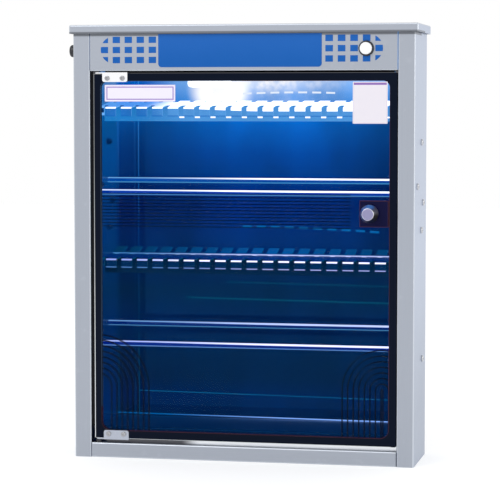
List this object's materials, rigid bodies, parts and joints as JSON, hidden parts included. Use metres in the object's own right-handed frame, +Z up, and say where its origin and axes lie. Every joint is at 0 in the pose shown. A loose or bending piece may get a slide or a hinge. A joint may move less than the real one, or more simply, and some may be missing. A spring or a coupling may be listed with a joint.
{
  "type": "uv toothbrush sterilizer",
  "caption": "Slim stainless steel cabinet with a framed glass door on pivot hinges, comb racks, leaning rods, a blue lamp under the ceiling and a round push button.",
  "frame": {"origin": "the middle of the cabinet's flat underside", "axes": "+Z up, +X to the right as seen from the front, -Y towards the user, out of the door"},
  "size_m": [0.413, 0.125, 0.5045],
  "materials": {
    "satin_steel": "satin brushed stainless sheet",
    "bright_steel": "bright polished stainless sheet",
    "rod_steel": "polished round steel bar",
    "screw_steel": "plated steel",
    "knob_metal": "satin plated metal",
    "door_glass": "clear tempered glass with a black printed border",
    "blue_plate": "smooth blue film",
    "black_plastic": "moulded black plastic",
    "white_plastic": "moulded white plastic",
    "rubber": "soft black rubber",
    "magnet": "sintered magnet",
    "alloy": "extruded aluminium",
    "lamp_cover": "frosted clear cover",
    "board": "white circuit board",
    "emitter": "lamp chips"
  },
  "bodies": {
    "cabinet": {"header_panel": "satin_steel", "bottom_rail": "satin_steel", "base_panel": "satin_steel", "top_lid": "satin_steel", "back_panel": "satin_steel", "left_side_panel": "satin_steel", "right_side_panel": "satin_steel", "left_liner": "bright_steel", "right_liner": "bright_steel", "inner_floor": "bright_steel", "inner_ceiling": "bright_steel", "left_hanger": "bright_steel", "right_hanger": "bright_steel", "upper_rack": "bright_steel", "lower_rack": "bright_steel", "upper_rack_bar": "bright_steel", "lower_rack_bar": "bright_steel", "upper_front_rod": "rod_steel", "upper_rear_rod": "rod_steel", "lower_front_rod": "rod_steel", "lower_rear_rod": "rod_steel", "side_bolts": "screw_steel", "acorn_nuts": "screw_steel", "back_screws": "screw_steel", "rack_screws": "screw_steel", "switch_nut": "screw_steel", "fuse_nut": "screw_steel", "header_plate": "blue_plate", "switch_body": "black_plastic", "fuse_holder": "black_plastic", "fuse_cap": "black_plastic", "power_inlet": "black_plastic", "lower_hinge_bush": "black_plastic", "upper_hinge_bush": "black_plastic", "magnet_catch": "black_plastic", "lamp_driver": "black_plastic", "terminal_block": "black_plastic", "door_buffers": "rubber", "catch_magnet": "magnet", "lamp_heat_sink": "alloy", "lamp_cover": "lamp_cover", "lamp_board": "board", "lamp_emitters": "emitter"},
    "door": {"door_glass": "door_glass", "upper_hinge_clip": "bright_steel", "lower_hinge_clip": "bright_steel", "upper_hinge_pin": "screw_steel", "lower_hinge_pin": "screw_steel", "hinge_screws": "screw_steel", "door_knob": "knob_metal", "knob_screw": "screw_steel", "strike_plate": "screw_steel"},
    "button": {"power_button": "white_plastic"}
  },
  "joints": [
    {"name": "door_hinge", "type": "hinge", "parent": "cabinet", "child": "door", "pos_m": [-0.172, -0.0475, 0.2355], "axis": [0, 0, -1], "range_deg": [0, 110]},
    {"name": "button_press", "type": "slide", "parent": "cabinet", "child": "button", "axis": [0, 1, 0], "range_m": [0, 0.003], "stiffness_N_per_m": 600, "springref_m": -0.001}
  ]
}
